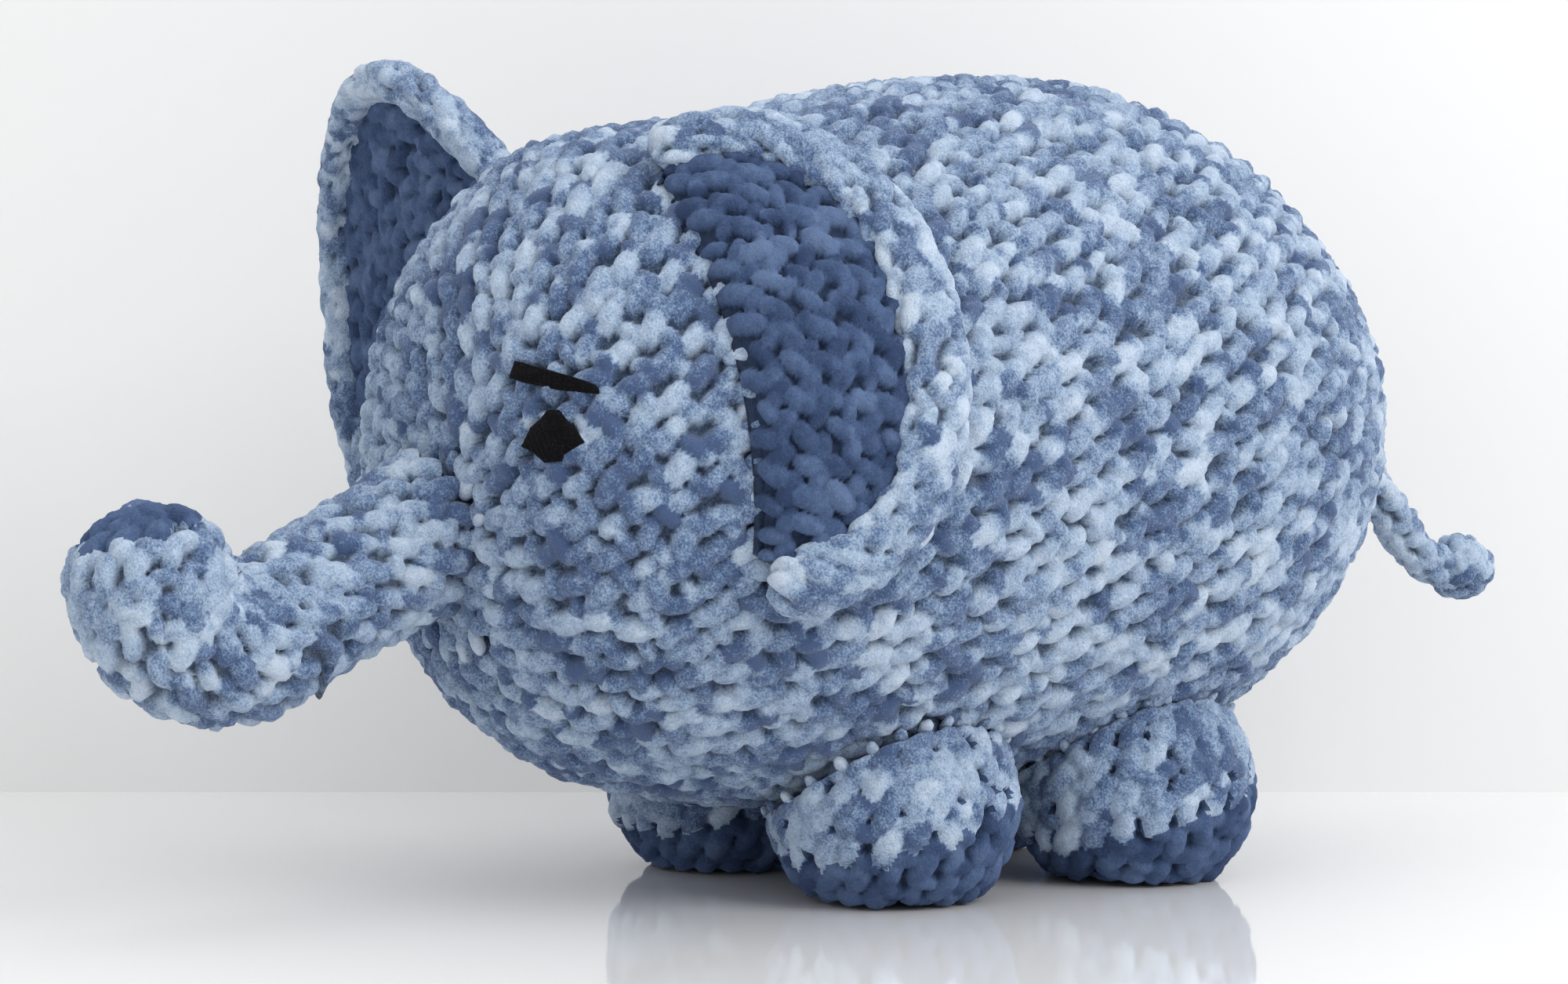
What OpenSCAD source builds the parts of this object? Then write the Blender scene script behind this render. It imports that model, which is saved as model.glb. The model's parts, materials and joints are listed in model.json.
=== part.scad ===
// Crocheted stuffed elephant. It stands on the plane z = 0 and faces -Y, with its
// left side towards +X. The origin is on that plane, midway between the four feet.

/* [Body] */
// Greatest radius of the egg-shaped body
body_r = 123; // [100:1:150]
// Length from the widest round forward to the nose end
nose_len = 248; // [205:1:300]
// Length from the widest round back to the rump end
rump_len = 132; // [110:1:160]
// Bluntness of the nose end
nose_power = 3.8; // [2.5:0.1:4.5]
// Squareness of the corner between the face and the cheeks
nose_corner = 3.2; // [2:0.1:3.6]
// Bluntness of the rump end
rump_power = 1.6; // [1.5:0.1:2.5]
// Clear height under the belly
belly_z = 34; // [24:1:44]
// Distance of the widest round behind the origin
body_y = 49; // [30:1:60]
// Nose-down tilt of the body in degrees
body_tilt = 4; // [0:1:8]
// Thickness of the crocheted fabric
fabric = 8; // [5:0.5:9]

/* [Trunk] */
// Radius of the trunk tube
trunk_r = 27; // [20:0.5:27]
// Radius where the trunk is sewn to the face
trunk_root_r = 28; // [25:0.5:35]
// Centre-line radius of the curl at the trunk's end
trunk_curl_r = 30; // [30:0.5:36]
// Angle that the curl turns through
trunk_curl = 100; // [80:1:125]
// Straight length between the face and the curl
trunk_len = 63; // [52:1:80]
// Slope of the straight part below the horizontal
trunk_slope = 25; // [8:1:30]
// Height of the trunk's root below the body's axis
trunk_drop = 22; // [12:1:32]
// Length of the straight tube after the curl
trunk_end = 7; // [2:1:16]
// Height of the dark cap on the trunk's end
cap_len = 24; // [9:0.5:28]
// Largest nod of the trunk up or down
trunk_nod = 12; // [5:1:15]

/* [Ears] */
// Distance of the ear seams behind the nose end
ear_back = 62; // [50:1:75]
// Half of each seam's angle round the body
ear_half = 43; // [35:1:48]
// Height of each seam's middle above the body's axis, in degrees
ear_rise = 20; // [10:1:28]
// Reach of the folded left ear from its seam
left_ear_reach = 74; // [60:1:90]
// Reach of the standing right ear from its seam
right_ear_reach = 82; // [60:1:98]
// Squareness of the left ear's outline
left_ear_power = 2.2; // [2:0.1:4]
// Squareness of the right ear's outline
right_ear_power = 3.8; // [2:0.1:5]
// Lean of the right ear's top towards the nose
right_ear_lean = 14; // [0:1:20]
// Width of the light rim that is folded over the inner face
rim_w = 15; // [10:1:20]
// How far the rim stands proud of the ear's faces
rim_proud = 2; // [1:0.5:4]
// Thickness of one ear panel
panel_t = 7; // [5:0.5:8]
// Height at which the ears start above the body
ear_start = 11; // [10:0.5:14]

/* [Legs] */
// Radius of a stuffed leg
leg_r = 43; // [36:0.5:46]
// Height of a leg's centre above the table
leg_z = 33; // [27:0.5:36]
// Distance of each foot's centre from the middle plane
leg_x = 52; // [48:1:60]
// Distance of each foot's centre from the origin, front and rear
leg_y = 51; // [48:1:60]
// Height where the dark sole meets the leg
sole_h = 24; // [18:1:28]
// Slope of the sole's edge, higher at the back, in degrees
sole_slope = 17; // [0:1:18]
// Height of the point about which a leg tilts
leg_hinge_z = 58; // [50:1:64]
// Largest tilt of a leg forward or back
leg_tilt = 6; // [3:1:7]

/* [Tail] */
// Radius of the tail's strip
tail_r = 7.5; // [5:0.5:9]
// Radius of the knot at the tail's end
knot_r = 13; // [10:0.5:16]
// Angle of the tail's root below the rump's end, round the body's middle plane
tail_drop = 11; // [10:1:26]
// How far the tail stands out behind the rump
tail_out = 73; // [50:1:85]
// How far the tail hangs down
tail_down = 44; // [30:1:60]

/* [Face] */
// Distance of the eyes behind the nose end
eye_back = 10; // [6:0.5:20]
// Height of the eyes above the body's axis, in degrees
eye_rise = 13; // [5:1:25]
// Width of an eye patch
eye_w = 22; // [16:1:28]
// Height of an eye patch
eye_h = 15; // [11:1:20]
// Distance of the eyebrows behind the nose end
brow_back = 13; // [8:0.5:22]
// Height of the eyebrows above the eyes, along the fabric
brow_lift = 23; // [21:0.5:40]
// Length of an eyebrow
brow_len = 30; // [20:1:40]
// Width of an eyebrow
brow_w = 5.5; // [4:0.5:9]
// Slant of an eyebrow
brow_slant = 38; // [0:1:60]
// Thickness of the black yarn patches
patch_t = 4; // [3:0.5:6]

/* [Seams] */
// Thickness of the yarn that sews the pieces to the body
seam_t = 5; // [4:0.5:6]
// Gap left between pieces that move against each other
gap = 0.6; // [0.4:0.1:1.5]

/* [Hidden] */

light = "#8fb0d4";
dark = "#46609b";
black = "#111114";
white = "#f2f2ee";
$fn = 96;
half_steps = 14;
outline_steps = 14;
body_z = belly_z + body_r;
ear_s = ear_back - nose_len;
far = 400;

// Radius of the body at a distance s behind its widest round, grown by g all over.
function end_len(s, g) = (s < 0 ? nose_len : rump_len) + g;
function end_power(s) = s < 0 ? nose_power : rump_power;
function end_root(s) = s < 0 ? 1 / nose_corner : 1 / 2;
function egg_r(s, g = 0) =
    (body_r + g) * pow(max(0, 1 - pow(abs(s) / end_len(s, g), end_power(s))), end_root(s));

// Places along the body's axis, closer together towards both ends.
function stations(g) = [for (i = [-half_steps:half_steps])
    let (a = 90 * i / half_steps) end_len(i, g) * sin(a)];

// The body's frame has its Z axis along the body, from the nose to the rump, and its
// X axis to the left. An angle of 0 is the left side and 90 is the top.
module body_frame() translate([0, body_y, body_z]) rotate([body_tilt - 90, 0, 0]) children();
module at_angle(a) rotate([0, 0, -a]) children();
module mirrored(side) mirror([side < 0 ? 1 : 0, 0, 0]) children();

module egg(g = 0) {
    s = stations(g);
    last = len(s) - 1;
    rotate_extrude() polygon(concat([[0, s[0]]],
        [for (i = [1:last - 1]) [egg_r(s[i], g), s[i]]], [[0, s[last]]]));
}

// A skin of thickness t that lies on the body, starting at a height of g.
module skin(t, g = 0) difference() {
    egg(g + t);
    egg(g);
}

// Stands children on the body's surface at angle a and distance s, with Z outwards.
module on_skin(a, s) {
    slope = atan((egg_r(s + 0.5) - egg_r(s - 0.5)) / 1);
    at_angle(a) translate([egg_r(s), 0, s]) rotate([0, 90 + slope, 0]) children();
}

// A closed round tube through rings of [y, z, heading from +Z towards +Y, radius].
module sweep(rings, sides) {
    points = [for (ring = rings) for (k = [0:sides - 1]) let (a = 360 * k / sides)
        [ring[3] * cos(a), ring[0] - ring[3] * sin(a) * cos(ring[2]),
            ring[1] + ring[3] * sin(a) * sin(ring[2])]];
    walls = [for (i = [0:len(rings) - 2]) for (k = [0:sides - 1])
        let (n = (k + 1) % sides, at = i * sides)
            [at + k, at + sides + k, at + sides + n, at + n]];
    first = [for (k = [0:sides - 1]) k];
    last = [for (k = [sides - 1:-1:0]) (len(rings) - 1) * sides + k];
    polyhedron(points, concat([first], walls, [last]));
}

// ---- Body ----
module body_cover() color(light) body_frame() difference() {
    egg();
    egg(-fabric);
}
module body_stuffing() color(white) body_frame() egg(-fabric);

// The yarn end that draws the last round together at the rump, a disc of this radius.
closing_r = 6;
module closing_yarn() color(light) body_frame() intersection() {
    skin(seam_t / 2);
    cylinder(r = closing_r, h = far);
}

// ---- Trunk ----
// The trunk starts on the plane that touches the nose end.
trunk_start = nose_len + gap;
trunk_run_in = trunk_root_r / 2;
module trunk_root() body_frame() translate([0, trunk_drop, -trunk_start]) children();
module trunk_frame() trunk_root() rotate([180 - body_tilt + trunk_slope, 0, 0]) children();

module dome(r, h) rotate_extrude() polygon(concat([[0, 0]],
    [for (i = [0:outline_steps]) [r * cos(90 * i / outline_steps), h * sin(90 * i / outline_steps)]]));

module trunk_curl_frame() translate([0, trunk_curl_r, trunk_len]) children();
module trunk_end_frame() trunk_curl_frame() rotate([-trunk_curl, 0, 0])
    translate([0, -trunk_curl_r, 0]) children();

module trunk_tube() {
    long = trunk_len + trunk_run_in;
    translate([0, 0, -trunk_run_in]) difference() {
        cylinder(r1 = trunk_root_r, r2 = trunk_r, h = long);
        cylinder(r1 = trunk_root_r - fabric, r2 = trunk_r - fabric, h = long);
    }
    trunk_curl_frame() rotate([90, 0, -90]) rotate_extrude(angle = trunk_curl)
        translate([trunk_curl_r, 0]) difference() {
            circle(r = trunk_r);
            circle(r = trunk_r - fabric);
        }
    trunk_end_frame() difference() {
        cylinder(r = trunk_r, h = trunk_end);
        cylinder(r = trunk_r - fabric, h = trunk_end);
    }
}

// What the trunk must stay in front of as it nods.
module face_side() for (a = [-trunk_nod, trunk_nod])
    trunk_root() rotate([a, 0, 0]) translate([-far / 2, -far / 2, 0]) cube(far);

module trunk_cover() color(light) difference() {
    trunk_frame() trunk_tube();
    face_side();
}
module trunk_cap() color(dark) trunk_frame() trunk_end_frame() translate([0, 0, trunk_end])
    difference() {
        dome(trunk_r, cap_len);
        dome(trunk_r - fabric, cap_len - fabric / 2);
    }
// The stuffing fills the tube and the cap, as one tapered sweep along the trunk.
trunk_rings = concat(
    [[0, -trunk_run_in, 0, trunk_root_r - fabric]],
    [for (i = [0:outline_steps]) let (a = trunk_curl * i / outline_steps)
        [trunk_curl_r * (1 - cos(a)), trunk_len + trunk_curl_r * sin(a), a, trunk_r - fabric]],
    [for (i = [0:outline_steps / 2]) let (a = 160 * i / outline_steps,
            on = trunk_end + (cap_len - fabric / 2) * sin(a))
        [trunk_curl_r * (1 - cos(trunk_curl)) + on * sin(trunk_curl),
            trunk_len + trunk_curl_r * sin(trunk_curl) + on * cos(trunk_curl),
            trunk_curl, (trunk_r - fabric) * cos(a)]]);
module trunk_stuffing() color(white) difference() {
    trunk_frame() sweep(trunk_rings, 32);
    face_side();
}
// A seam's ring of yarn stands this far clear of the leg or the trunk that it holds.
seam_room = 3;
trunk_seam_room = 7;
module trunk_seam() color(light) body_frame() difference() {
    translate([0, trunk_drop, -nose_len - seam_t / 2]) difference() {
        cylinder(r = trunk_root_r + trunk_seam_room + seam_t, h = far / 4);
        translate([0, 0, -1]) cylinder(r = trunk_root_r + trunk_seam_room, h = far);
    }
    egg();
}

// ---- Ears ----
// Height of an ear's outline over its seam, for u from -1 to 1 along the seam.
function ear_height(u, power) = sqrt(max(0, 1 - pow(abs(u), power)));
function ear_us() = [for (i = [-outline_steps:outline_steps]) sin(90 * i / outline_steps)];

// The folded ear's outline, from the front view of its seam's middle. Its straight side
// starts ear_start behind the seam, and inset draws the curved side in.
module folded_outline(inset = 0) {
    half = egg_r(ear_s) * sin(ear_half) - inset;
    reach = left_ear_reach - ear_start - inset;
    polygon([for (u = ear_us())
        [-ear_s - ear_start - reach * ear_height(u, left_ear_power), half * u]]);
}
module folded_layer(low, t, inset) body_frame() intersection() {
    skin(t, low);
    at_angle(ear_rise) rotate([0, 90, 0]) linear_extrude(far) folded_outline(inset);
}
// The folded ear rests this far above the body.
rest_gap = 2.5;
module left_ear_back() color(light) folded_layer(rest_gap, panel_t, rim_w);
module left_ear_inner() color(dark) folded_layer(rest_gap + panel_t, panel_t, rim_w);
module left_ear_rim() color(light) difference() {
    folded_layer(rest_gap, 2 * panel_t + rim_proud, 0);
    body_frame() at_angle(ear_rise) rotate([0, 90, 0]) linear_extrude(far)
        folded_outline(rim_w);
}

// The standing ear's outline, seen along the body. It starts inside the body.
module standing_outline(inset = 0) {
    r = egg_r(ear_s);
    reach = right_ear_reach - inset;
    half = ear_half - atan(inset / r);
    polygon(concat([[r * cos(half) - panel_t, 0]],
        [for (u = ear_us()) let (d = r + reach * ear_height(u, right_ear_power))
            [d * cos(half * u), d * sin(half * u)]]));
}
module standing_frame() body_frame() at_angle(180 - ear_rise) translate([0, 0, ear_s])
    rotate([right_ear_lean, 0, 0]) children();
module standing_layer(low, t, inset) difference() {
    standing_frame() translate([0, 0, low]) linear_extrude(t) standing_outline(inset);
    body_frame() egg(ear_start);
}
module right_ear_back() color(light) standing_layer(0, panel_t, rim_w);
module right_ear_inner() color(dark) standing_layer(-panel_t, panel_t, rim_w);
module right_ear_rim() color(light) difference() {
    standing_layer(-panel_t - rim_proud, 2 * (panel_t + rim_proud), 0);
    standing_frame() translate([0, 0, -far / 2]) linear_extrude(far) standing_outline(rim_w);
}

// The roll of sewing yarn along an ear's seam.
module ear_seam(side) color(light) mirrored(side) body_frame() at_angle(ear_rise)
    difference() {
        translate([0, 0, ear_s]) rotate([0, 0, -ear_half]) rotate_extrude(angle = 2 * ear_half)
            translate([egg_r(ear_s) + seam_t / 2, 0]) circle(d = seam_t);
        egg();
    }

// ---- Legs ----
module leg_ball(wall) translate([0, 0, leg_z]) sphere(r = leg_r - wall);
module under_sole_edge() translate([0, 0, sole_h]) rotate([sole_slope, 0, 0])
    translate([-far / 2, -far / 2, -far]) cube(far);

// What a leg at x, y must stay below as it tilts: the body's widest round, drawn out
// along the whole belly.
module belly(x, y) translate([-x, -y, 0]) for (a = [-leg_tilt, 0, leg_tilt])
    translate([0, y, leg_hinge_z]) rotate([a, 0, 0]) translate([0, -y, -leg_hinge_z])
        body_frame() cylinder(r = body_r + gap, h = far, center = true);

// The leg's outside shape, cut flat at height low and shaped to the belly.
module leg_shape(x, y, wall, low) difference() {
    leg_ball(wall);
    translate([-far / 2, -far / 2, low - far]) cube(far);
    belly(x, y);
}
module leg_skin(x, y) difference() {
    leg_shape(x, y, 0, 0);
    difference() {
        leg_ball(fabric);
        translate([-far / 2, -far / 2, fabric - far]) cube(far);
    }
}
module leg(x, y) color(light) translate([x, y, 0]) difference() {
    leg_skin(x, y);
    under_sole_edge();
}
module sole(x, y) color(dark) translate([x, y, 0]) intersection() {
    leg_skin(x, y);
    under_sole_edge();
}
module leg_stuffing(x, y) color(white) translate([x, y, 0]) leg_shape(x, y, fabric, fabric);
module leg_seam(x, y) color(light) intersection() {
    body_frame() skin(seam_t / 2);
    translate([x, y, 0]) difference() {
        leg_ball(-seam_room - seam_t);
        leg_ball(-seam_room);
    }
}

// ---- Tail ----
// The tail's root lies on the rump's middle line, and its strip is a smooth S.
// It starts root_gap behind the rump, and its seam is a collar that stops seam_end short
// of that. It runs straight out by out_share of its length, drops, and runs out again.
tail_s = rump_len * cos(tail_drop);
root_gap = 4;
seam_end = 3.2;
collar = 2;
out_share = 0.68;
end_share = 0.42;
function tail_root() = let (r = egg_r(tail_s), c = cos(body_tilt), n = sin(body_tilt))
    [body_y + tail_s * c + r * n, body_z + tail_s * n - r * c];
function bezier(p, t) = pow(1 - t, 3) * p[0] + 3 * t * pow(1 - t, 2) * p[1]
    + 3 * t * t * (1 - t) * p[2] + pow(t, 3) * p[3];
tail_start = tail_root() + [root_gap, 0];
tail_stop = tail_root() + [tail_out, -tail_down];
tail_curve = [tail_start, tail_start + [tail_out * out_share, 0],
    tail_stop - [tail_out * end_share, 0], tail_stop];
tail_steps = 14;
function tail_heading(t) = let (d = bezier(tail_curve, min(1, t + 0.01))
    - bezier(tail_curve, max(0, t - 0.01))) d / norm(d);
tail_rings = [for (i = [0:tail_steps]) let (t = i / tail_steps, c = bezier(tail_curve, t),
    d = tail_heading(t)) [c[0], c[1], atan2(d[0], d[1]), tail_r]];

module tail_strip() color(light) sweep(tail_rings, 12);
module tail_knot() color(light) {
    d = tail_heading(1);
    c = tail_stop + d * knot_r;
    translate([0, c[0], c[1]]) sphere(r = knot_r);
}
module tail_seam() color(light) difference() {
    translate([0, tail_root()[0], tail_root()[1]]) rotate([-90, 0, 0])
        translate([0, 0, -knot_r]) cylinder(r = tail_r + collar, h = knot_r + root_gap - seam_end);
    body_frame() egg();
}

// ---- Face ----
patch_room = 40;
module oval(w, h) polygon([for (i = [0:23]) [w / 2 * cos(15 * i), h / 2 * sin(15 * i)]]);
module patch(side, rise, back, slant) mirrored(side) body_frame() intersection() {
    skin(patch_t);
    on_skin(rise, back - nose_len) rotate(slant) translate([0, 0, -patch_room / 2])
        linear_extrude(patch_room) children();
}
module eye(side) color(black) patch(side, eye_rise, eye_back, 0) oval(eye_w, eye_h);
brow_rise = eye_rise + brow_lift / egg_r(brow_back - nose_len) * 180 / PI;
module brow(side) color(black) patch(side, brow_rise, brow_back, brow_slant)
    square([brow_len, brow_w], center = true);

body_cover();
body_stuffing();
closing_yarn();
trunk_cover();
trunk_cap();
trunk_stuffing();
trunk_seam();
left_ear_back();
left_ear_inner();
left_ear_rim();
ear_seam(1);  // left_ear_seam
right_ear_back();
right_ear_inner();
right_ear_rim();
ear_seam(-1);  // right_ear_seam
leg(leg_x, -leg_y);  // front_left_leg
sole(leg_x, -leg_y);  // front_left_sole
leg_stuffing(leg_x, -leg_y);  // front_left_stuffing
leg_seam(leg_x, -leg_y);  // front_left_seam
leg(-leg_x, -leg_y);  // front_right_leg
sole(-leg_x, -leg_y);  // front_right_sole
leg_stuffing(-leg_x, -leg_y);  // front_right_stuffing
leg_seam(-leg_x, -leg_y);  // front_right_seam
leg(leg_x, leg_y);  // rear_left_leg
sole(leg_x, leg_y);  // rear_left_sole
leg_stuffing(leg_x, leg_y);  // rear_left_stuffing
leg_seam(leg_x, leg_y);  // rear_left_seam
leg(-leg_x, leg_y);  // rear_right_leg
sole(-leg_x, leg_y);  // rear_right_sole
leg_stuffing(-leg_x, leg_y);  // rear_right_stuffing
leg_seam(-leg_x, leg_y);  // rear_right_seam
tail_strip();
tail_knot();
tail_seam();
eye(1);  // left_eye
eye(-1);  // right_eye
brow(1);  // left_brow
brow(-1);  // right_brow
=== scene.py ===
import json
import math

import bmesh
import bpy
import numpy as np
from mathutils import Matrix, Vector, noise


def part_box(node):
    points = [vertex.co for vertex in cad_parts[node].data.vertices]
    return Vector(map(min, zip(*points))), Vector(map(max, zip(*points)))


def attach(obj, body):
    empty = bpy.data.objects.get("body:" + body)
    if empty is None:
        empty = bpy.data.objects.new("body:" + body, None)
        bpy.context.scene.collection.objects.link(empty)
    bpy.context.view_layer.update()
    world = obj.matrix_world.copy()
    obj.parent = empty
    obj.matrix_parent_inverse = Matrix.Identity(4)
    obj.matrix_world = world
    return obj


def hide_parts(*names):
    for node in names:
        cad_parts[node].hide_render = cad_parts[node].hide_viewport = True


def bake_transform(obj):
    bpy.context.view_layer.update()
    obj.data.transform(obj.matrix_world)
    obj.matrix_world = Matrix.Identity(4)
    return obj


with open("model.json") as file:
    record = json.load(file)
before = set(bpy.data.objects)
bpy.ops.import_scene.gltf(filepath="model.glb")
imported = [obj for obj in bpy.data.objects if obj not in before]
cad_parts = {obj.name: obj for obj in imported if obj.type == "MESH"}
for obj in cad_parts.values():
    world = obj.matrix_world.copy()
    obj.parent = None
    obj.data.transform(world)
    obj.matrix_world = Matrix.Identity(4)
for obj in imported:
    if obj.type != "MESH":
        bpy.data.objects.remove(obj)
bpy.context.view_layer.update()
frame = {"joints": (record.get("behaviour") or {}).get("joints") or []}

MM = 0.001


# ---- Camera ----
# A long lens at the height of the trunk, in front of the elephant's left cheek.
lens_mm = 81
camera_turn = math.radians(57)
camera_pitch = math.radians(1.5)
camera_away = 1.215
aim = Vector((0, -0.0605, 0.1352))
back = Vector((math.sin(camera_turn) * math.cos(camera_pitch),
               -math.cos(camera_turn) * math.cos(camera_pitch),
               math.sin(camera_pitch)))
camera_data = bpy.data.cameras.new("camera")
camera_data.lens = lens_mm
camera_data.sensor_width = 36
camera_data.clip_end = 20
camera = bpy.data.objects.new("camera", camera_data)
bpy.context.scene.collection.objects.link(camera)
camera.location = aim + back * camera_away
camera.rotation_mode = "QUATERNION"
camera.rotation_quaternion = (-back).to_track_quat("-Z", "Y")
bpy.context.scene.camera = camera


# ---- Body ----
# The egg-shaped body and head are one piece, single crochet in rounds from the blunt
# nose to the rump, in a fat chenille yarn of mixed blues, stuffed full. The rounds run
# about the body's long axis, and every stitch is a leaning loop of yarn.
body_low, body_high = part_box("body_cover")
body_r = (body_high.x - body_low.x) / 2 / MM
nose_len = 248
rump_len = 132
body_tilt = math.radians(4)
belly_dip = 5.6
along_body = np.array([0, math.cos(body_tilt), math.sin(body_tilt)])
up_body = np.array([0, -math.sin(body_tilt), math.cos(body_tilt)])
to_left = np.array([1.0, 0, 0])
body_centre = np.array([0, body_high.y / MM - rump_len * math.cos(body_tilt),
                        body_low.z / MM + belly_dip + body_r])


def body_radius(s):
    """Radius of the body at a distance s behind its widest round."""
    nose = np.clip(-s / nose_len, 0, 1)
    rump = np.clip(s / rump_len, 0, 1)
    return body_r * np.where(s < 0, (1 - nose ** 3.8) ** (1 / 3.2), (1 - rump ** 1.6) ** 0.5)


# The body's outline by the length of yarn fabric from the nose end, t.
fine = 4000
ease = (1 - np.cos(np.linspace(0, math.pi, fine))) / 2
outline_s = -nose_len + (nose_len + rump_len) * ease
outline_r = body_radius(outline_s)
outline_t = np.concatenate([[0], np.cumsum(np.hypot(np.diff(outline_s), np.diff(outline_r)))])
body_length = outline_t[-1]


def on_body(angle, t, out=0.0):
    """Points at an angle round the body, a length t from the nose end, standing off by out."""
    s = np.interp(t, outline_t, outline_s)
    r = np.interp(t, outline_t, outline_r)
    ahead = np.interp(t + 1, outline_t, outline_s) - np.interp(t - 1, outline_t, outline_s)
    wider = np.interp(t + 1, outline_t, outline_r) - np.interp(t - 1, outline_t, outline_r)
    span = np.hypot(ahead, wider)
    r = r + out * ahead / span
    s = s - out * wider / span
    across = r * np.cos(angle)
    above = r * np.sin(angle)
    return (body_centre + across[..., None] * to_left + above[..., None] * up_body
            + s[..., None] * along_body)


def rolled(steps, rings):
    """A grid rolled up into a closed tube. X is the turn round it and Y is the place along
    it, both from -1 to 1, and the tube's seam and ends are welded."""
    form = bmesh.new()
    bmesh.ops.create_grid(form, x_segments=steps, y_segments=rings, size=1)
    verts = sorted(form.verts, key=lambda vert: (round(vert.co.y, 5), vert.co.x))
    wide = steps + 1
    targets = {}
    for ring in range(rings + 1):
        row = verts[ring * wide:(ring + 1) * wide]
        welded = row[1:] if ring in (0, rings) else row[-1:]
        targets.update({vert: row[0] for vert in welded})
    bmesh.ops.weld_verts(form, targetmap=targets)
    return form


def placed(name, form, place):
    """Moves each point of a rolled form to where place says, and makes it a piece."""
    flat = np.array([vert.co for vert in form.verts])
    turn = flat[:, 0] * math.pi
    share = (flat[:, 1] + 1) / 2
    for vert, spot in zip(form.verts, place(turn, share) * MM):
        vert.co = spot
    bmesh.ops.recalc_face_normals(form, faces=form.faces)
    if form.calc_volume(signed=True) < 0:
        bmesh.ops.reverse_faces(form, faces=form.faces)
    return named(name, form), turn, share


def named(name, form):
    """Makes a form a smooth-shaded piece."""
    mesh = bpy.data.meshes.new(name)
    form.to_mesh(mesh)
    form.free()
    mesh.polygons.foreach_set("use_smooth", np.ones(len(mesh.polygons), bool))
    piece = bpy.data.objects.new(name, mesh)
    bpy.context.scene.collection.objects.link(piece)
    return piece


stitch = 11.5


def even_rounds(length, gauge=stitch):
    """The middles of rounds that fill a length of fabric."""
    rows = max(1, round(length / gauge))
    return (np.arange(rows) + 0.5) * length / rows


def lay_rounds(heights, radius_at, seed, gauge=stitch, fewest=6):
    """Lays out rounds of stitches: how many there are in each round, and how each loop is
    placed, leans, swells and takes the yarn's colour."""
    rng = np.random.default_rng(seed)
    counts = np.maximum(fewest, np.round(2 * math.pi * radius_at(heights) / gauge)).astype(int)
    total = counts.sum()
    runs = rng.integers(1, 4, 4 * total)
    return {
        "heights": heights, "counts": counts, "first": np.cumsum(counts) - counts,
        "phase": rng.random(len(heights)), "slip": rng.normal(0, 0.85, (total, 2, 2)),
        "turn": rng.normal(0, 0.24, (total, 2)), "size": rng.normal(1, 0.1, (total, 2)),
        "lift": rng.normal(0, 0.5, (total, 2)),
        "shade": np.repeat(rng.beta(1.2, 1.3, 4 * total), runs)[:4 * total + 4],
    }


# The two loops of a stitch: across and along from its middle, lean, half length, half
# width, thickness and how deep the loop lies.
loops = ((0.0, 0.0, math.radians(50), 7.6, 4.2, 5.2, 0.0),
         (5.6, 5.4, math.radians(-36), 6.2, 3.6, 4.6, 0.5))
hollow = -4.8


def loop_relief(turn, along, reach, rounds, stretch, scale):
    """Height, colour and round of the yarn at an angle round a form, a length along
    it and a distance from its axis. The colour holds painted shade in the hollows
    and on each stitch's second, deeper loop."""
    height = np.full(len(turn), hollow)
    # Painted shade: the hollows between loops start at a darker tone, 0.3.
    shade = np.full(len(turn), 0.3)
    owner = np.zeros(len(turn))
    heights = rounds["heights"]
    last = len(heights) - 1
    row_here = np.rint(np.interp(along, heights, np.arange(last + 1))).astype(int)
    dyes = np.arange(len(rounds["shade"]))
    for row_on in (-1, 0, 1):
        row = np.clip(row_here + row_on, 0, last)
        count = rounds["counts"][row]
        place = turn / (2 * math.pi) * count - rounds["phase"][row]
        wide = 2 * math.pi * reach / count
        for stitch_on in (-1, 0, 1):
            here = np.floor(place).astype(int) + stitch_on
            k = rounds["first"][row] + here % count
            for n, (across, up, lean, long, thin, thick, deep) in enumerate(loops):
                x = (place - here - 0.5) * wide - across * scale - rounds["slip"][k, n, 0]
                y = (along - heights[row]) * stretch - up * scale - rounds["slip"][k, n, 1]
                angle = lean + rounds["turn"][k, n]
                size = rounds["size"][k, n] * scale
                p = (x * np.cos(angle) + y * np.sin(angle)) / (long * size)
                q = (y * np.cos(angle) - x * np.sin(angle)) / (thin * size)
                fall = np.abs(p) ** 2.4 + np.abs(q) ** 2.2
                dome = (np.sqrt(np.clip(1 - fall, 0, 1)) - 1) * thick
                rise = np.where(fall < 1, dome + rounds["lift"][k, n] - deep + 0.6, hollow)
                yarn_at = 2 * (2 * k + n + 0.5 + 0.7 * p)
                # Painted shade: each stitch's second, deeper loop is painted 0.12 darker.
                colour = np.interp(yarn_at, dyes, rounds["shade"]) - 0.12 * n
                higher = rise > height
                height = np.where(higher, rise, height)
                shade = np.where(higher, colour, shade)
                owner = np.where(higher, row, owner)
    return height, shade, owner


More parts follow.
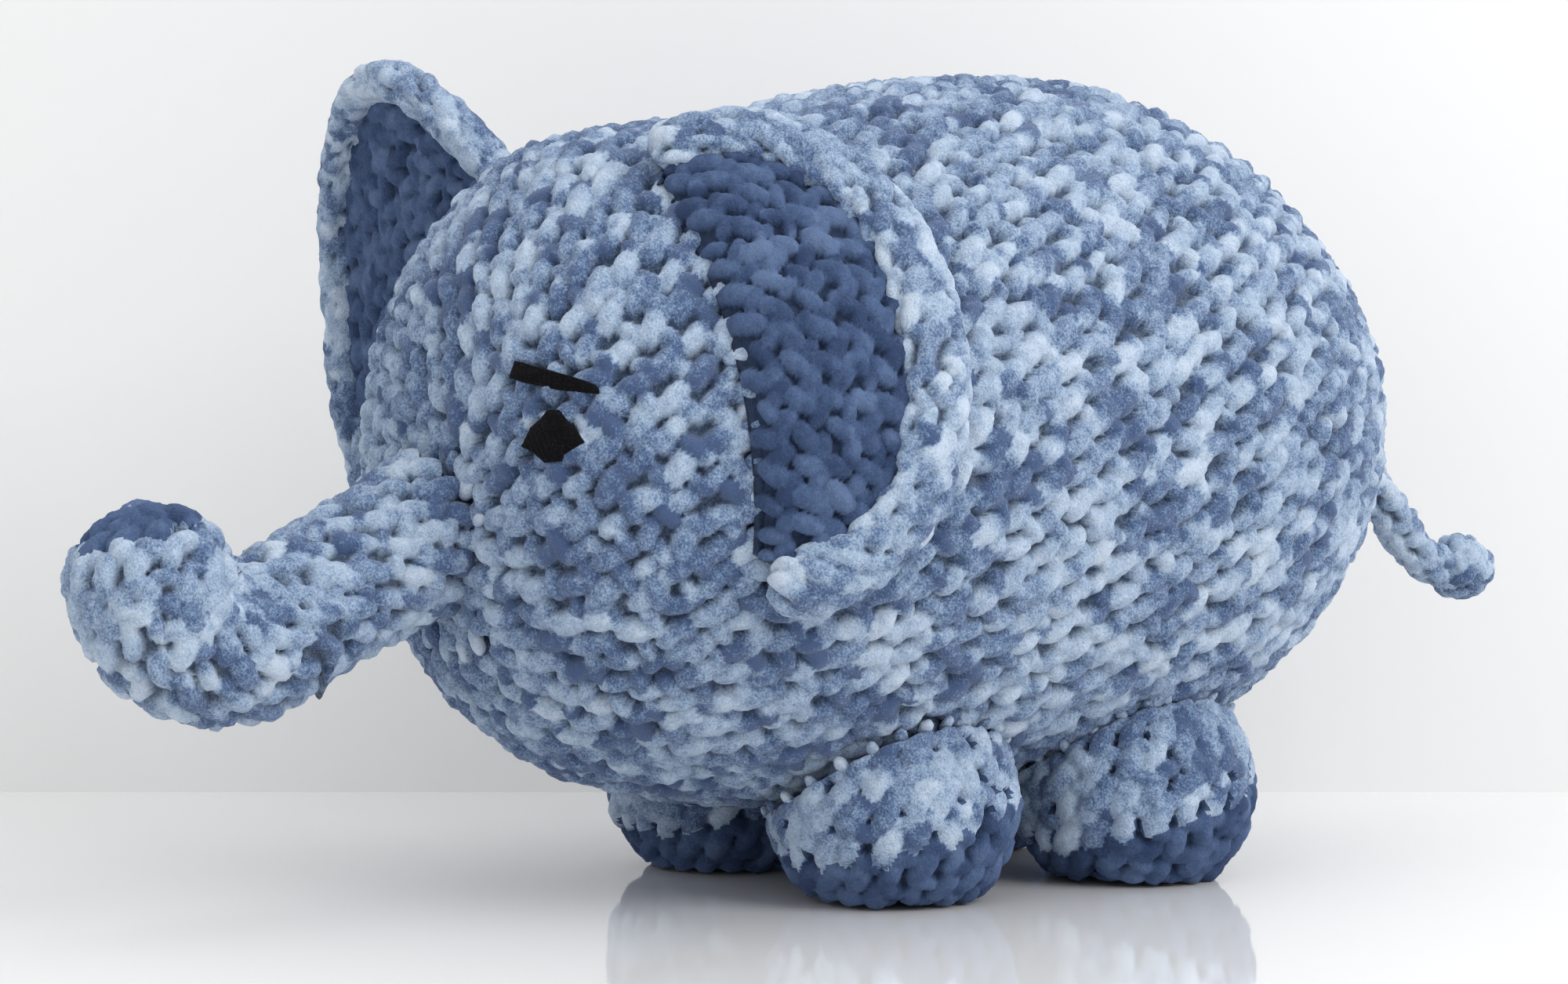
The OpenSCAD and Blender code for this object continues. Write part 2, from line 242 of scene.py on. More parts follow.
def crochet(piece, turn, along, reach, rounds, share=1.0, stretch=1.0, scale=1.0, tint=0.0):
    """Raises the loops of yarn on a piece, gives each point its colour and a mask for
    painted shade in the hollows, and returns the round that each point belongs to."""
    mesh = piece.data
    count = len(mesh.vertices)
    height, shade, owner = loop_relief(turn, along, reach, rounds, stretch, scale)
    # A mask for painted shade: 0 deep in the hollows between loops, 1 on their tops.
    painted_shade_mask = np.clip((height - hollow) / -hollow, 0, 1)
    spots = np.empty(count * 3)
    outward = np.empty(count * 3)
    mesh.vertices.foreach_get("co", spots)
    mesh.vertex_normals.foreach_get("vector", outward)
    spots = spots.reshape(-1, 3)
    fleece = np.array([noise.noise(spot) for spot in (spots / (2.6 * MM)).tolist()])
    grain = np.array([noise.noise(spot) for spot in (spots / (1.1 * MM)).tolist()])
    height = height + 0.55 * fleece + 0.3 * grain
    spots = spots + outward.reshape(-1, 3) * (height * share * MM)[:, None]
    mesh.vertices.foreach_set("co", spots.ravel())
    # Painted light: the fleece term lightens the colour on the raised bumps of the pile and darkens
    # it in their dips.
    for key, values in (("shade", shade + tint + 0.1 * fleece), ("painted_shade_mask", painted_shade_mask)):
        layer = mesh.attributes.new(key, "FLOAT", "POINT")
        layer.data.foreach_set("value", np.asarray(values, np.float32))
    mesh.update()
    return owner


def divided(piece, name, owner, upper):
    """A copy of a piece with only its upper, or only its lower, rounds of stitches."""
    form = bmesh.new()
    form.from_mesh(piece.data)
    drop = [face for face in form.faces
            if (sum(owner[vert.index] for vert in face.verts) >= 4 * upper[0] - 2) != upper[1]]
    bmesh.ops.delete(form, geom=drop, context="FACES")
    return named(name, form)


def dye(red, green, blue):
    """A colour from its 0 to 255 screen values."""
    values = [c / 255 for c in (red, green, blue)]
    return [c / 12.92 if c < 0.04 else ((c + 0.055) / 1.055) ** 2.4 for c in values] + [1]


def yarn(name, dyes, speckle, sheen, sheen_tint):
    """Chenille yarn: short soft pile in every direction, dyed along its length, with
    painted shade multiplied in where the painted shade mask is low.
    """
    material = bpy.data.materials.new(name)
    material.use_nodes = True
    nodes = material.node_tree.nodes
    links = material.node_tree.links
    shader = nodes["Principled BSDF"]
    where = nodes.new("ShaderNodeTexCoord")
    shade = nodes.new("ShaderNodeAttribute")
    shade.attribute_name = "shade"
    painted_shade_mask = nodes.new("ShaderNodeAttribute")
    painted_shade_mask.attribute_name = "painted_shade_mask"

    pile = nodes.new("ShaderNodeTexNoise")
    pile.inputs["Scale"].default_value = 1300
    pile.inputs["Detail"].default_value = 3
    pile.inputs["Roughness"].default_value = 0.7
    blotch = nodes.new("ShaderNodeTexNoise")
    blotch.inputs["Scale"].default_value = 330
    blotch.inputs["Detail"].default_value = 2
    for texture in (pile, blotch):
        links.new(where.outputs["Object"], texture.inputs["Vector"])

    def math_node(operation, first, second):
        node = nodes.new("ShaderNodeMath")
        node.operation = operation
        for socket, value in zip(node.inputs, (first, second)):
            if isinstance(value, (int, float)):
                socket.default_value = value
            else:
                links.new(value, socket)
        return node.outputs[0]

    fleck = math_node("MULTIPLY", math_node("SUBTRACT", pile.outputs["Fac"], 0.5), speckle)
    patch = math_node("MULTIPLY", math_node("SUBTRACT", blotch.outputs["Fac"], 0.5), 0.7)
    mixed = math_node("ADD", shade.outputs["Fac"], math_node("ADD", fleck, patch))
    ramp = nodes.new("ShaderNodeValToRGB")
    links.new(mixed, ramp.inputs["Fac"])
    while len(ramp.color_ramp.elements) < len(dyes):
        ramp.color_ramp.elements.new(0.5)
    for element, (spot, colour) in zip(ramp.color_ramp.elements, dyes):
        element.position = spot
        element.color = dye(*colour)

    # Painted shade: the colour is multiplied down to 0.46 of itself where the painted shade mask is
    # low, in the hollows between loops.
    painted_crease_shade = nodes.new("ShaderNodeMapRange")
    links.new(painted_shade_mask.outputs["Fac"], painted_crease_shade.inputs["Value"])
    painted_crease_shade.inputs["From Min"].default_value = 0.0
    painted_crease_shade.inputs["From Max"].default_value = 0.62
    painted_crease_shade.inputs["To Min"].default_value = 0.46
    painted_crease_shade.inputs["To Max"].default_value = 1.0
    paint_shade = nodes.new("ShaderNodeMix")
    paint_shade.data_type = "RGBA"
    paint_shade.blend_type = "MULTIPLY"
    paint_shade.inputs["Factor"].default_value = 1
    links.new(ramp.outputs["Color"], paint_shade.inputs["A"])
    links.new(painted_crease_shade.outputs["Result"], paint_shade.inputs["B"])
    links.new(paint_shade.outputs["Result"], shader.inputs["Base Color"])

    bump = nodes.new("ShaderNodeBump")
    bump.inputs["Strength"].default_value = 0.86
    bump.inputs["Distance"].default_value = 0.0012
    links.new(pile.outputs["Fac"], bump.inputs["Height"])
    links.new(bump.outputs["Normal"], shader.inputs["Normal"])
    shader.inputs["Roughness"].default_value = 0.95
    shader.inputs["Specular IOR Level"].default_value = 0.15
    shader.inputs["Sheen Weight"].default_value = sheen
    shader.inputs["Sheen Roughness"].default_value = 0.45
    shader.inputs["Sheen Tint"].default_value = dye(*sheen_tint)
    return material


mixed_dyes = ((0.0, (72, 92, 130)), (0.22, (106, 130, 165)), (0.52, (155, 176, 203)),
              (0.8, (180, 199, 220)), (1.0, (200, 213, 231)))
mixed_yarn = yarn("mixed_blue_chenille", mixed_dyes, 1.5, 0.35, (220, 228, 245))


def finish(piece, material, nodes, body=None):
    """Gives a stuffed piece its yarn, its body, its fill and the solids it stands for."""
    piece.data.materials.append(material)
    if body:
        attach(piece, body)
    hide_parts(*nodes)


# The stuffing sits high in the middle of the back and in the crown of the head, and dips
# behind the head and over the rump.
swells = ((-40, 48, 3.8), (-132, 28, -3.5), (-194, 22, 4.0), (90, 26, -3.0))
body_rings = 370
body_steps = 590


def body_place(turn, share):
    t = share * body_length
    s = np.interp(t, outline_t, outline_s)
    top = np.clip(np.sin(turn), 0, 1) ** 2
    swell = sum(high * np.exp(-((s - at) / spread) ** 2) for at, spread, high in swells)
    return on_body(turn, t, swell * top)


body, turn, share = placed("body_knit", rolled(body_steps, body_rings), body_place)
body_t = share * body_length
body_rounds = lay_rounds(even_rounds(body_length), lambda t: np.interp(t, outline_t, outline_r), 1)
head_tint = -0.12 * np.clip((230 - body_t) / 90, 0, 1)
crochet(body, turn, body_t, np.interp(body_t, outline_t, outline_r), body_rounds, tint=head_tint)
body_nodes = ("body_cover", "body_stuffing", "closing_yarn")
finish(body, mixed_yarn, body_nodes, "torso")


# ---- Trunk ----
# A tapering tube crocheted in rounds, stuffed and curled up at its end. Its last rounds,
# which close the tip, are in solid dark blue yarn. It is sewn to the face.
trunk_root = np.array([joint["pos_m"] for joint in frame["joints"]
                       if joint["name"] == "trunk_nod"][0]) / MM
trunk_sunk = 8
trunk_slope = math.radians(25)
trunk_straight = 58.5
trunk_curl_r = 30
trunk_curl = math.radians(100)
trunk_end = 7
trunk_root_r = 28
trunk_r = 27
tip_len = 24
tip_rows = 2
tip_gauge = 12.5

tube_len = trunk_sunk + trunk_straight + trunk_curl_r * trunk_curl + trunk_end
path_step = 0.5
path_t = np.arange(0, tube_len + tip_len + 10, path_step)
path_turn = (np.clip((path_t - trunk_sunk - trunk_straight) / trunk_curl_r, 0, trunk_curl)
             - trunk_slope)
ahead = np.stack([0 * path_t, -np.cos(path_turn), np.sin(path_turn)], 1)
path = np.cumsum(ahead, 0) * path_step
path = path - path[int(trunk_sunk / path_step)] + trunk_root
path[:, 2] += np.interp(path_t, (0, 65, 125), (6, 4.5, -8.5))


def along_path(path_t, path, side, t, across, above):
    """Points beside a path, across and above it, where side says which way across is."""
    slopes = np.gradient(path, path_t, axis=0)
    slopes /= np.linalg.norm(slopes, axis=1)[:, None]
    beside = side - slopes * (side * slopes).sum(1)[:, None]
    beside /= np.linalg.norm(beside, axis=1)[:, None]
    over = np.cross(slopes, beside)
    place, right, up = (np.stack([np.interp(t, path_t, way[:, n]) for n in range(3)], 1)
                        for way in (path, beside, over))
    return place + right * across[:, None] + up * above[:, None]


def round_end(radius, t, length, cap):
    """Radius of a tube that closes in a dome of height cap over the end of its length."""
    over = np.clip((t - (length - cap)) / cap, 0, 1)
    return radius * np.sqrt(1 - over ** 2)


trunk_len = tube_len + tip_len
trunk_z = np.linspace(0, trunk_len, 2000)
slim = 2.5 * np.sin(np.clip(trunk_z / (trunk_straight + 30), 0, 1) * math.pi)
root_share = np.clip(1 - trunk_z / trunk_straight, 0, 1)
trunk_taper = trunk_r + (trunk_root_r - trunk_r) * root_share - slim
trunk_radii = round_end(trunk_taper, trunk_z, trunk_len, tip_len)
trunk_radii[0] = 0
trunk_t = np.concatenate([[0], np.cumsum(np.hypot(np.diff(trunk_z), np.diff(trunk_radii)))])
trunk_t[1:] -= trunk_root_r
trunk_total = trunk_t[-1]


def trunk_at(turn, t):
    z = np.interp(t, trunk_t, trunk_z)
    r = np.interp(t, trunk_t, trunk_radii)
    return along_path(path_t, path, to_left, z, r * np.cos(turn), r * np.sin(turn))


trunk, turn, share = placed("trunk_whole", rolled(132, 130),
                            lambda turn, share: trunk_at(turn, share * trunk_total))
t = share * trunk_total
straight_rows = even_rounds(trunk_sunk + trunk_straight)
curl_rows = trunk_sunk + trunk_straight + even_rounds(trunk_curl_r * trunk_curl, 8.2)
dome_from = trunk_sunk + trunk_straight + trunk_curl_r * trunk_curl
tip_heights = dome_from + even_rounds(trunk_total - dome_from, tip_gauge)
trunk_rounds = lay_rounds(np.concatenate([straight_rows, curl_rows, tip_heights]),
                          lambda t: np.interp(t, trunk_t, trunk_radii), 3)
stretch = np.linalg.norm(trunk_at(turn, t + 0.5) - trunk_at(turn, t - 0.5), axis=1)
owner = crochet(trunk, turn, t, np.interp(t, trunk_t, trunk_radii), trunk_rounds,
                stretch=np.clip(stretch, 0.3, 2), tint=0.04)
dark_dyes = ((0.0, (50, 67, 100)), (0.5, (73, 93, 129)), (1.0, (97, 118, 153)))
dark_yarn = yarn("dark_blue_chenille", dark_dyes, 1.1, 0.25, (150, 170, 215))
tip_from = len(trunk_rounds["heights"]) - tip_rows
trunk_tube = divided(trunk, "trunk_knit", owner, (tip_from, False))
trunk_tip = divided(trunk, "trunk_tip_knit", owner, (tip_from, True))
bpy.data.objects.remove(trunk)
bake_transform(trunk_tube)
finish(trunk_tube, mixed_yarn, ("trunk_cover", "trunk_stuffing"))
finish(trunk_tip, dark_yarn, ("trunk_cap",), "trunk")


# ---- Ears ----
# Each ear is two half-round panels, the inner one dark and the outer one mixed blue,
# with a mixed rim rolled over the edge. The left ear is folded back against the body,
# and the right one stands up and leans forward at its top.
ear_seam_s = -186
ear_seam_t = float(np.interp(ear_seam_s, outline_s, outline_t))
ear_rise = math.radians(20)


def left_ear_at(u, h):
    """A point on the folded ear's middle surface: u along the seam, h out from it in mm."""
    half = math.radians(45)
    away = 2.0 + 6.0 * (1 - np.exp(-h / 9.0))
    return on_body(ear_rise + math.radians(2) - half * u, ear_seam_t + 1 + h, away)


def right_ear_at(u, h):
    """A point on the standing ear's middle surface."""
    half = math.radians(48.5)
    s = -182
    angle = math.pi - ear_rise + half * u
    sweep = np.radians(-5.6 + 21.6 * u)
    outward = np.cos(angle)[:, None] * to_left + np.sin(angle)[:, None] * up_body
    r = body_radius(np.array(float(s))) - 3
    return (body_centre + s * along_body + outward * (r + h * np.cos(sweep))[:, None]
            + along_body * (h * np.sin(sweep))[:, None])


def ear_normal(at, u, h):
    """Which way the ear's inner, dark face looks at a point."""
    du = at(u + 0.004, h) - at(u - 0.004, h)
    dh = at(u, h + 0.5) - at(u, h - 0.5)
    normal = np.cross(du, dh)
    return normal / np.linalg.norm(normal, axis=1)[:, None]


panel = 5.5
rim_thick = 8.0
rim_lift = 3.5
sunk = 4
ears = (("left", left_ear_at, 66, 2.1, 82, 11.5, 1),
        ("right", right_ear_at, 80, 6.5, 90, 7.0, -1))
for side, at, reach, power, half_mm, rim_half, facing in ears:
    body_name = side + "_ear"
    inner_u = 1 - rim_half / half_mm
    inner_h = reach - rim_half
    tuck = rim_half - 5
    for layer, low, high, material, slot in (
            ("inner", 0.0, panel, dark_yarn, "dark_yarn"),
            ("back", -panel, 0.0, mixed_yarn, "mixed_yarn")):
        def spread(turn, share):
            """Where a rolled form's points lie on the ear: u, h and the height off it."""
            u = np.sin(math.pi / 2 * (2 * share - 1)) * 0.9999
            tall = (inner_h - tuck) * np.sqrt(1 - np.abs(u) ** power) + sunk
            h = tall * (1 - np.abs(turn) / math.pi)
            round_off = np.sqrt(np.clip(np.minimum(tall - h, h) / 4, 0, 1))
            h = h - sunk
            lift = (low + high) / 2 + np.sign(turn) * (high - low) / 2 * round_off
            return u * (inner_u - tuck / half_mm), h, lift

        def sheet_place(turn, share):
            u, h, lift = spread(turn, share)
            return at(u, h) + ear_normal(at, u, h) * (facing * lift)[:, None]

        piece, turn, share = placed(side + "_ear_" + layer + "_knit", rolled(150, 200), sheet_place)
        u, h, lift = spread(turn, share)
        rows = lay_rounds(even_rounds(reach + 6, 8.8), lambda t: np.full(len(t), 60.0),
                          5 + 3 * len(side) + len(layer), 8.8)
        shown = np.clip((1 if layer == "inner" else -1) * np.sign(turn), 0, 1)
        crochet(piece, u * half_mm / 60, h + sunk, 60.0, rows, share=shown * 0.7, scale=0.76)
        finish(piece, material, (side + "_ear_" + layer,), body_name)

    curve = np.linspace(0, math.pi, 400)
    rim_u = inner_u * np.sign(np.cos(curve)) * np.abs(np.cos(curve)) ** (2 / power)
    rim_h = inner_h * np.sin(curve)
    rim_up = ear_normal(at, rim_u, rim_h) * facing
    rim_path = at(rim_u, rim_h) + rim_up * rim_lift
    rim_t = np.concatenate([[0], np.cumsum(np.linalg.norm(np.diff(rim_path, axis=0), axis=1))])

    def rim_place(turn, share):
        t = share * rim_t[-1]
        r = round_end(round_end(np.ones(len(t)), t, rim_t[-1], rim_half), rim_t[-1] - t,
                      rim_t[-1], rim_half)
        return along_path(rim_t, rim_path, rim_up, t, rim_thick * r * np.cos(turn),
                          rim_half * r * np.sin(turn))

    piece, turn, share = placed(side + "_ear_rim_knit", rolled(48, 170), rim_place)
    rows = lay_rounds(even_rounds(rim_t[-1], 10.5), lambda t: np.full(len(t), rim_half),
                      8 + len(side), 10.5, 5)
    crochet(piece, turn, share * rim_t[-1], rim_half, rows, share=0.75, tint=0.05)
    finish(piece, mixed_yarn, (side + "_ear_rim",), body_name)


# ---- Legs ----
# Four stuffed balls, crocheted in rounds from a dark sole up, flattened where they
# stand. The dark rounds slope up towards the back, and the top is sewn to the belly.
leg_r = 43
leg_z = 33
sole_slope = math.radians(17)
sole_rows = 5
sole_arc = leg_r * math.acos(8.6 / leg_r)
limbs = (("front_left", 52, -51), ("front_right", -52, -51),
         ("rear_left", 52, 51), ("rear_right", -52, 51))
for number, (name, x, y) in enumerate(limbs):
    centre = np.array([x, y, leg_z])

    def leg_place(turn, share):
        r = leg_r * np.sin(math.pi * share)
        up = -leg_r * np.cos(math.pi * share)
        side, front = r * np.cos(turn), r * np.sin(turn)
        spot = centre + np.stack([
            side, front * math.cos(sole_slope) - up * math.sin(sole_slope),
            up * math.cos(sole_slope) + front * math.sin(sole_slope)], 1)
        spot[:, 2] = np.maximum(spot[:, 2], 1.4)
        return spot

    leg, turn, share = placed(name + "_whole", rolled(210, 105), leg_place)
    t = share * math.pi * leg_r
    heights = np.concatenate([even_rounds(sole_arc),
                              sole_arc + even_rounds(math.pi * leg_r - sole_arc)])
    rounds = lay_rounds(heights, lambda t: leg_r * np.sin(t / leg_r), 20 + number)
    owner = crochet(leg, turn, t, leg_r * np.sin(t / leg_r), rounds, share=0.85,
                    scale=1.08, tint=-0.05)
    spots = np.array([vert.co for vert in leg.data.vertices]) / MM
    belly = body_centre[2] - np.sqrt((body_r + 0.5) ** 2 - spots[:, 0] ** 2)
    belly = belly + (spots[:, 1] - body_centre[1]) * math.tan(body_tilt)
    spots[:, 2] = np.clip(spots[:, 2], 0, belly)
    leg.data.vertices.foreach_set("co", (spots * MM).ravel())
    upper = divided(leg, name + "_leg_knit", owner, (sole_rows, True))
    sole = divided(leg, name + "_sole_knit", owner, (sole_rows, False))
    bpy.data.objects.remove(leg)
    finish(upper, mixed_yarn, (name + "_leg", name + "_stuffing"),
           name + "_leg_body")
    finish(sole, dark_yarn, (name + "_sole",), name + "_leg_body")


# ---- Tail ----
# A crocheted cord of mixed yarn, sewn to the rump, with a knot at its end.
tail_root = np.array([joint["pos_m"] for joint in frame["joints"]
                      if joint["name"] == "tail_swing"][0]) / MM
knot_low, knot_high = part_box("tail_knot")
knot = np.array((knot_low + knot_high) / 2) / MM + [0, -9, 0]
knot_r = (knot_high.x - knot_low.x) / 2 / MM
tail_r = 8.5
q = np.linspace(0, 1, 80)[:, None]
bend = [tail_root + [0, -3, 0], tail_root + [0, 46, -6], knot + [0, -40, -2], knot]
tail_path = ((1 - q) ** 3 * bend[0] + 3 * q * (1 - q) ** 2 * bend[1]
             + 3 * q * q * (1 - q) * bend[2] + q ** 3 * bend[3])
tail_t = np.concatenate([[0], np.cumsum(np.linalg.norm(np.diff(tail_path, axis=0), axis=1))])
tail_len = tail_t[-1]


def tail_place(turn, share):
    t = share * tail_len
    r = round_end(tail_r + 2.5 * np.clip(1 - t / 40, 0, 1), t, tail_len, tail_r)
    r = round_end(r, tail_len - t, tail_len, tail_r)
    return along_path(tail_t, tail_path, to_left, t, r * np.cos(turn), r * np.sin(turn))


tail, turn, share = placed("tail_knit", rolled(48, 90), tail_place)
rounds = lay_rounds(even_rounds(tail_len, 10), lambda t: np.full(len(t), tail_r), 41, 13, 3)
crochet(tail, turn + share * 5, share * tail_len, tail_r, rounds, share=0.85, tint=0.1)
finish(tail, mixed_yarn, ("tail_strip", "tail_seam"), "tail")


def knot_place(turn, share):
    r = knot_r * np.sin(math.pi * share)
    up = -knot_r * np.cos(math.pi * share)
    return knot + np.stack([r * np.cos(turn), up, r * np.sin(turn)], 1)


tail_knot, turn, share = placed("tail_knot_knit", rolled(66, 36), knot_place)
rounds = lay_rounds(even_rounds(math.pi * knot_r, 10), lambda t: knot_r * np.sin(t / knot_r),
                    43, 10, 4)
crochet(tail_knot, turn, share * math.pi * knot_r, knot_r * np.sin(math.pi * share), rounds,
        share=0.9, tint=0.1)
finish(tail_knot, mixed_yarn, ("tail_knot",), "tail")


# ---- Face ----
# The eyes and brows are small patches of black yarn, worked straight onto the face in
# close strands. An eye has ragged corners, and a brow is a bar that thins to the rear.
black_dyes = ((0.0, (2, 2, 4)), (0.7, (9, 9, 12)), (1.0, (30, 30, 36)))
black_yarn = yarn("black_yarn", black_dyes, 1.0, 0.1, (120, 120, 130))
eye_corners = ((-11.2, -0.5), (-6.0, 4.9), (-1.5, 6.4), (1.6, 8.2), (6.4, 6.6), (7.4, 2.6),
               (9.6, 0.4), (11.8, -3.8), (4.6, -6.2), (3.0, -8.0), (-3.0, -7.8), (-6.4, -4.2))
brow_corners = ((-16.6, -2.6), (-15.6, 3.4), (-8.0, 1.6), (4.0, 0.8), (16.0, 1.0), (17.6, -0.8),
                (10.0, -3.2), (2.0, -4.6), (-10.0, -4.2))


def patch(name, node, angle, t, slant, corners, stand, side):
    """A low pad of black yarn on the face, drawn out to the given corners."""
    edge = np.array(corners + corners[:1])
    edge_t = np.concatenate([[0], np.cumsum(np.hypot(*np.diff(edge, axis=0).T))])

    def place(turn, share):
        where = (turn / (2 * math.pi) + 0.5) * edge_t[-1]
        out = np.sin(np.clip(share * 1.25, 0, 1) * math.pi / 2)
        out = np.where(share > 0.8, (1 - share) * 5, out)
        x = out * np.interp(where, edge_t, edge[:, 0])
        y = out * np.interp(where, edge_t, edge[:, 1])
        strand = 0.35 * np.abs(np.sin(x * math.pi / 1.9 + y * 0.4))
        high = np.where(share > 0.8, -1.0, stand * np.sqrt(np.clip(1 - out ** 3, 0, 1)) + strand)
        across = x * math.cos(slant) - y * math.sin(slant)
        above = x * math.sin(slant) + y * math.cos(slant)
        here = np.interp(t, outline_t, outline_r)
        spot = on_body(angle + above / here, t + across, high * (1 if side > 0 else 0.4))
        spot[:, 0] *= side
        return spot

    piece, turn, share = placed(name, rolled(96, 30), place)
    count = len(piece.data.vertices)
    rng = np.random.default_rng(60)
    for key, values in (("shade", rng.random(count)), ("painted_shade_mask", np.ones(count))):
        layer = piece.data.attributes.new(key, "FLOAT", "POINT")
        layer.data.foreach_set("value", values.astype(np.float32))
    piece.data.materials.append(black_yarn)
    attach(piece, "torso")
    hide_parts(node)


eye_t = float(np.interp(-238, outline_s, outline_t))
brow_t = float(np.interp(-235, outline_s, outline_t))
# The right eye and brow sit further back and flatter than the left ones.
for side_name, side, further in (("left", 1, 0), ("right", -1, 15)):
    patch(side_name + "_eye_patch", side_name + "_eye", math.radians(13), eye_t + further,
          0.0, eye_corners, 2.0, side)
    patch(side_name + "_brow_patch", side_name + "_brow", math.radians(28.3), brow_t + further,
          math.radians(-37), brow_corners, 2.0, side)


# ---- Seams ----
# Whip stitches of mixed yarn that hold the ears, trunk and legs to the body.
def whip_stitches(name, node, middles, leans, ups, half_long, half_wide):
    """A row of short loops of yarn, one at each middle, lying along its lean."""
    form = bmesh.new()
    shade = form.verts.layers.float.new("shade")
    painted_shade_mask = form.verts.layers.float.new("painted_shade_mask")
    rng = np.random.default_rng(len(middles) * 7 + len(name))
    for middle, lean, up in zip(middles, leans, ups):
        made = bmesh.ops.create_uvsphere(form, u_segments=20, v_segments=14, radius=1)["verts"]
        lean = lean / np.linalg.norm(lean)
        up = up - lean * (up @ lean)
        up = up / np.linalg.norm(up)
        beside = np.cross(lean, up)
        tone = rng.beta(1.3, 1.3)
        size = rng.normal(1, 0.08)
        for vert in made:
            x, y, z = vert.co
            spot = middle + (lean * z * half_long + beside * x * half_wide
                             + up * y * half_wide * 0.8) * size
            vert[shade] = tone + 0.25 * z
            # Painted shade: the underside of each loop gets a lower painted shade mask, so it is
            # darker under the stitch.
            vert[painted_shade_mask] = 0.35 + 0.5 * max(0, y)
            spot = spot + (spot - middle) * 0.16 * noise.noise(spot / 2.6)
            vert.co = spot * MM
    bmesh.ops.recalc_face_normals(form, faces=form.faces)
    piece = named(name, form)
    piece.data.materials.append(mixed_yarn)
    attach(piece, "torso")
    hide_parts(node)


for side_name, side, middle in (("left", 1, ear_rise), ("right", -1, ear_rise)):
    angles = middle + np.radians(np.linspace(-42, 42, 15))
    spots = on_body(angles, np.full(15, ear_seam_t - 2.0), -1.0)
    leans = on_body(angles, np.full(15, ear_seam_t + 3.0), 1.0) - spots
    ups = on_body(angles, np.full(15, ear_seam_t - 2.0), 3.0) - spots
    for rows in (spots, leans, ups):
        rows[:, 0] *= side
    whip_stitches(side_name + "_ear_stitches", side_name + "_ear_seam", spots, leans, ups, 6.5, 3.6)

root_in_body = trunk_root - body_centre
drop = -float(root_in_body @ up_body)
ring = np.radians(np.arange(0, 360, 20))
ring_x = 33 * np.cos(ring)
ring_up = 33 * np.sin(ring) - drop
ring_angle = np.arctan2(ring_up, ring_x)
nose_side = outline_t < body_length / 3
ring_t = np.interp(np.hypot(ring_x, ring_up), outline_r[nose_side], outline_t[nose_side])
spots = on_body(ring_angle, ring_t, -1.5)
outs = on_body(ring_angle, ring_t, 3.0) - spots
middle = spots.mean(0)
whip_stitches("trunk_stitches", "trunk_seam", spots, spots - middle, outs, 5.0, 2.8)

for name, x, y in limbs:
    centre = np.array([x, y, leg_z])
    spots = []
    leans = []
    ups = []
    for a in np.radians(np.arange(0, 360, 15)):
        way = np.array([math.cos(a), math.sin(a)])
        reach = leg_r * 0.6
        for _ in range(40):
            x, y = centre[:2] + way * reach
            z = body_centre[2] - math.sqrt(max(0, body_r ** 2 - x * x))
            z += (y - body_centre[1]) * math.tan(body_tilt)
            gap = math.sqrt(reach ** 2 + (z - leg_z) ** 2) - leg_r
            reach -= gap * 0.5
        spots.append(np.array([x, y, z]) - np.array([way[0], way[1], 0]) * 2)
        leans.append(np.array([way[0], way[1], 0.9]))
        ups.append(np.array([way[0], way[1], -0.6]))
    whip_stitches(name + "_stitches", name + "_seam", np.array(spots), np.array(leans),
                  np.array(ups), 4.2, 2.2)


# ---- Setting ----
# A glossy white table top against a white wall, lit softly from the right and above.
def plain(name, colour, roughness, specular):
    material = bpy.data.materials.new(name)
    material.use_nodes = True
    shader = material.node_tree.nodes["Principled BSDF"]
    shader.inputs["Base Color"].default_value = (colour, colour, colour, 1)
    shader.inputs["Roughness"].default_value = roughness
    shader.inputs["Specular IOR Level"].default_value = specular
    return material


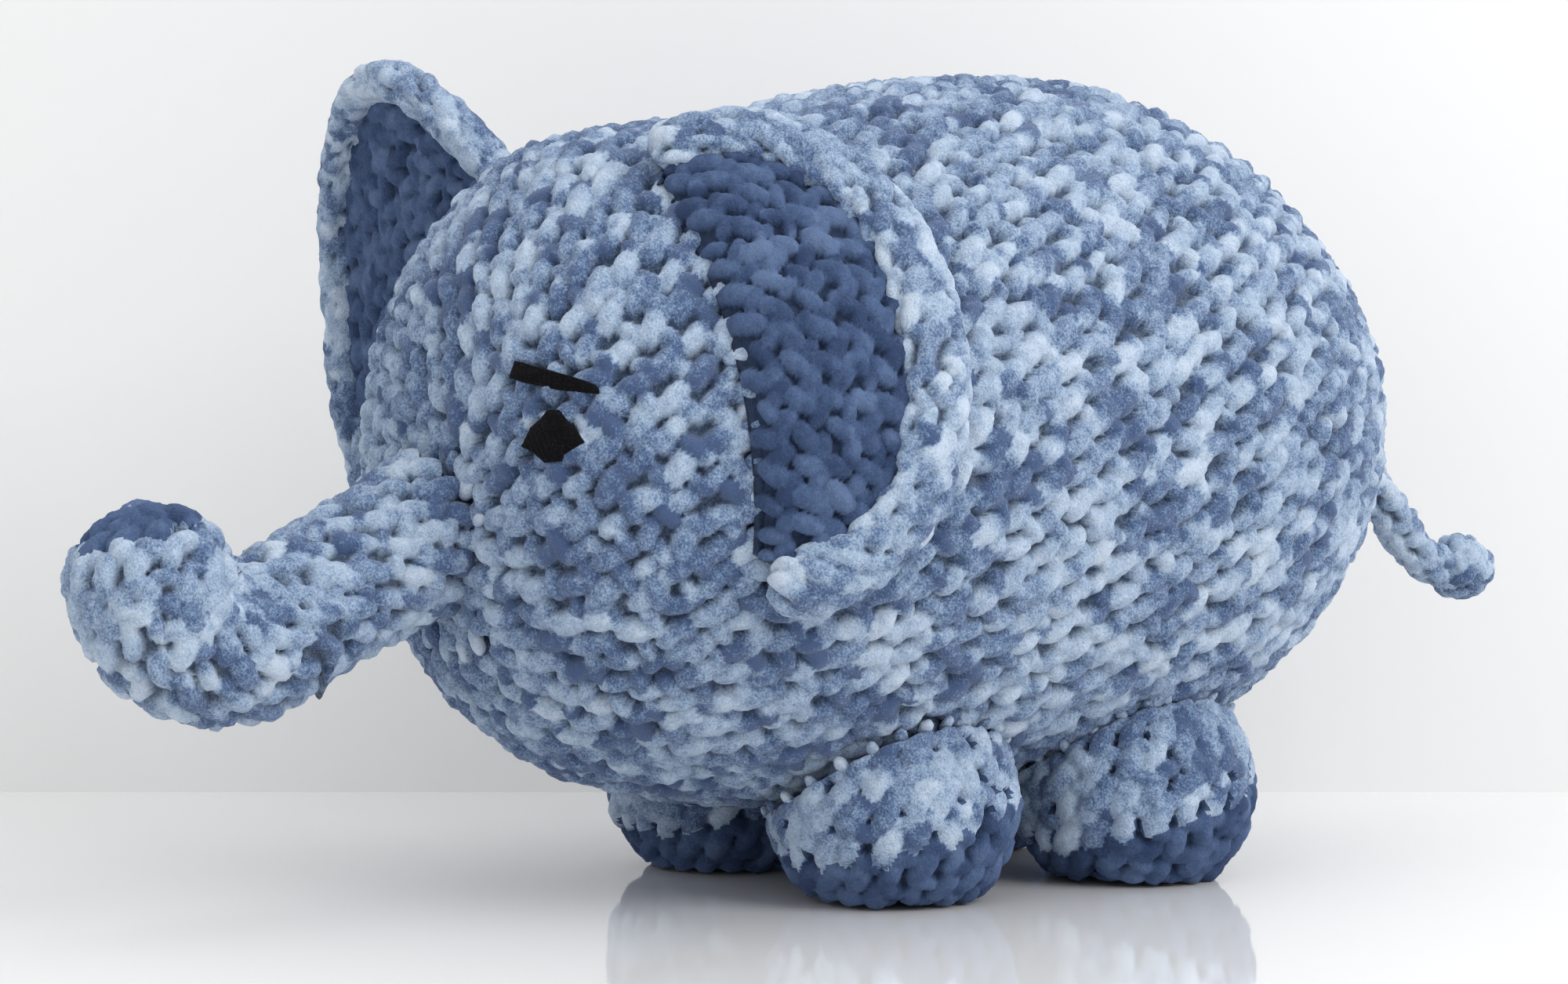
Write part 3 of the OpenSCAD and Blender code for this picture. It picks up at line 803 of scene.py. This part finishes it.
def flat_board(name, half_x, half_y, material):
    form = bmesh.new()
    bmesh.ops.create_grid(form, x_segments=1, y_segments=1, size=1)
    bmesh.ops.scale(form, vec=(half_x, half_y, 1), verts=form.verts)
    mesh = bpy.data.meshes.new(name)
    form.to_mesh(mesh)
    form.free()
    mesh.materials.append(material)
    board = bpy.data.objects.new(name, mesh)
    bpy.context.scene.collection.objects.link(board)
    return board


flat_board("table_top", 4, 4, plain("table_white", 0.84, 0.06, 0.5))
wall_white = plain("wall_white", 0.8, 0.9, 0.1)
wall = flat_board("wall", 4, 3, wall_white)
wall_back = 0.283
wall.rotation_euler = (math.pi / 2, 0, camera_turn)
flat_back = Vector((math.sin(camera_turn), -math.cos(camera_turn), 0))
wall.location = Vector((aim.x, aim.y, 0)) - flat_back * wall_back
tree = wall_white.node_tree
geometry = tree.nodes.new("ShaderNodeNewGeometry")
clear = tree.nodes.new("ShaderNodeBsdfTransparent")
either = tree.nodes.new("ShaderNodeMixShader")
tree.links.new(geometry.outputs["Backfacing"], either.inputs["Fac"])
tree.links.new(tree.nodes["Principled BSDF"].outputs[0], either.inputs[1])
tree.links.new(clear.outputs[0], either.inputs[2])
tree.links.new(either.outputs[0], tree.nodes["Material Output"].inputs["Surface"])

world = bpy.data.worlds.new("studio")
bpy.context.scene.world = world
world.use_nodes = True
world.node_tree.nodes["Background"].inputs["Color"].default_value = (1, 1, 1, 1)
world.node_tree.nodes["Background"].inputs["Strength"].default_value = 0.86
bpy.context.scene.view_settings.view_transform = "Standard"


def soft_box(name, turn, height, away, size, power):
    """A square lamp that faces the elephant, at a turn to the right of the camera."""
    lamp_data = bpy.data.lights.new(name, "AREA")
    lamp_data.shape = "SQUARE"
    lamp_data.size = size
    lamp_data.energy = power
    lamp = bpy.data.objects.new(name, lamp_data)
    bpy.context.scene.collection.objects.link(lamp)
    a = camera_turn + math.radians(turn)
    lamp.location = (math.sin(a) * away, -math.cos(a) * away, height)
    lamp.rotation_mode = "QUATERNION"
    lamp.rotation_quaternion = (lamp.location - aim).to_track_quat("Z", "Y")


soft_box("key", 52, 1.7, 2.5, 1.9, 48)
soft_box("top", 0, 2.2, 0.4, 1.6, 8)
soft_box("fill", -45, 0.7, 2.4, 1.8, 4)
